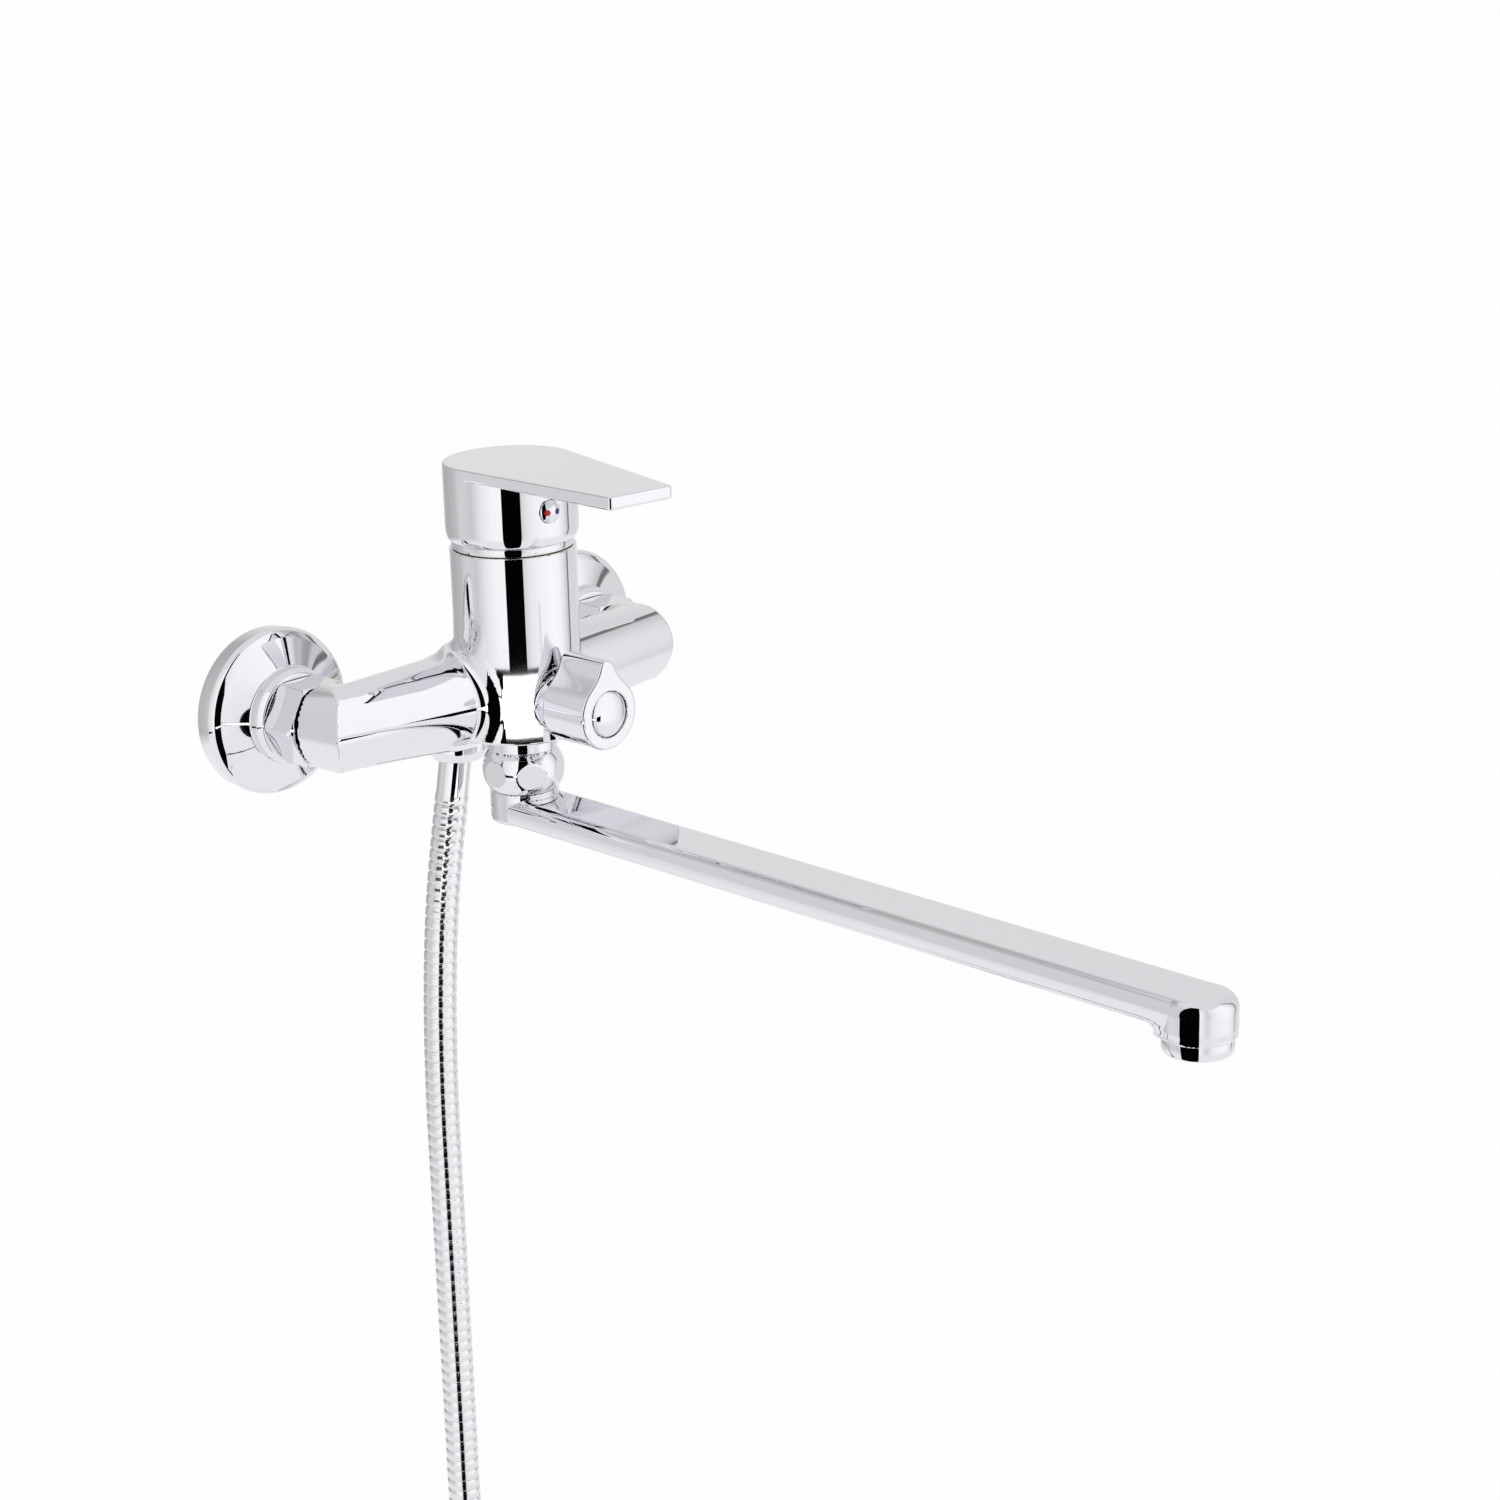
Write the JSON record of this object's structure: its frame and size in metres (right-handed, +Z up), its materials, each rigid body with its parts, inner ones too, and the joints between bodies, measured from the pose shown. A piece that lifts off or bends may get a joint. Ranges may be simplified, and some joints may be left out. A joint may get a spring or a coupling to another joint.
{
  "type": "wall mounted bath faucet",
  "caption": "Wall mounted single lever bath mixer with a long swivelling spout, a diverter knob and a metal shower hose.",
  "frame": {"origin": "on the wall plane, midway between the two threaded wall inlets", "axes": "+X to the right along the wall for a person facing the faucet, +Y into the wall, +Z up; the spout points to -Y"},
  "size_m": [0.2138, 0.409, 0.6527],
  "materials": {
    "chrome": "mirror plated brass",
    "brass": "turned brass",
    "steel": "stainless steel",
    "hose_steel": "interlocked plated strip",
    "plastic": "moulded acetal",
    "ceramic": "polished alumina ceramic",
    "rubber": "smooth nitrile rubber",
    "red": "gloss enamel",
    "blue": "gloss enamel"
  },
  "bodies": {
    "faucet_body": {"body": "chrome", "s_union_left": "brass", "s_union_right": "brass", "escutcheon_left": "chrome", "escutcheon_right": "chrome", "union_nut_left": "chrome", "union_nut_right": "chrome", "inlet_tail_left": "brass", "inlet_tail_right": "brass", "union_washers": "rubber", "cartridge_housing": "plastic", "cartridge_seals": "rubber", "fixed_disc": "ceramic", "cartridge_nut": "brass", "neck_ring": "chrome", "spout_nut": "chrome", "diverter_cartridge": "brass", "diverter_o_ring": "rubber", "outlet_nipple": "brass", "check_valve": "plastic", "hose_washer": "rubber", "hose_nut": "chrome", "hose_ferrule": "chrome", "hose": "hose_steel", "hose_coil": "hose_steel", "hose_tie": "rubber", "hose_end_ferrule": "chrome", "hose_end_nut": "chrome"},
    "lever_carrier": {"lever_carrier": "plastic", "pivot_pin": "steel"},
    "lever": {"lever": "chrome", "lever_stem": "brass", "lever_screw": "steel", "indicator_plug": "chrome", "hot_mark": "red", "cold_mark": "blue"},
    "moving_disc": {"moving_disc": "ceramic"},
    "spout": {"spout": "chrome", "spout_clip": "plastic", "spout_o_rings": "rubber", "aerator_shell": "chrome", "aerator_insert": "plastic", "aerator_washer": "rubber"},
    "diverter_knob": {"diverter_knob": "chrome", "diverter_stem": "brass", "knob_screw": "steel", "knob_cap": "chrome"}
  },
  "joints": [
    {"name": "lever_turn", "type": "hinge", "parent": "faucet_body", "child": "lever_carrier", "pos_m": [0, -0.06, 0.0535], "axis": [0, 0, 1], "range_deg": [-43, 57]},
    {"name": "lever_lift", "type": "hinge", "parent": "lever_carrier", "child": "lever", "pos_m": [0, -0.06, 0.0535], "axis": [-0.9925, 0.1219, 0], "range_deg": [0, 25]},
    {"name": "disc_slide", "type": "slide", "parent": "lever_carrier", "child": "moving_disc", "axis": [-0.1219, -0.9925, 0], "range_m": [0, 0.0033]},
    {"name": "spout_swivel", "type": "hinge", "parent": "faucet_body", "child": "spout", "pos_m": [0, -0.06, -0.03], "axis": [0, 0, 1], "range_deg": [-90, 90]},
    {"name": "diverter_turn", "type": "hinge", "parent": "faucet_body", "child": "diverter_knob", "pos_m": [0, -0.0975, 0.008], "axis": [0, -1, 0], "range_deg": [-90, 0]}
  ],
  "couplings": [
    {"joint": "disc_slide", "follows": "lever_lift", "m_per_rad": 0.0072}
  ]
}
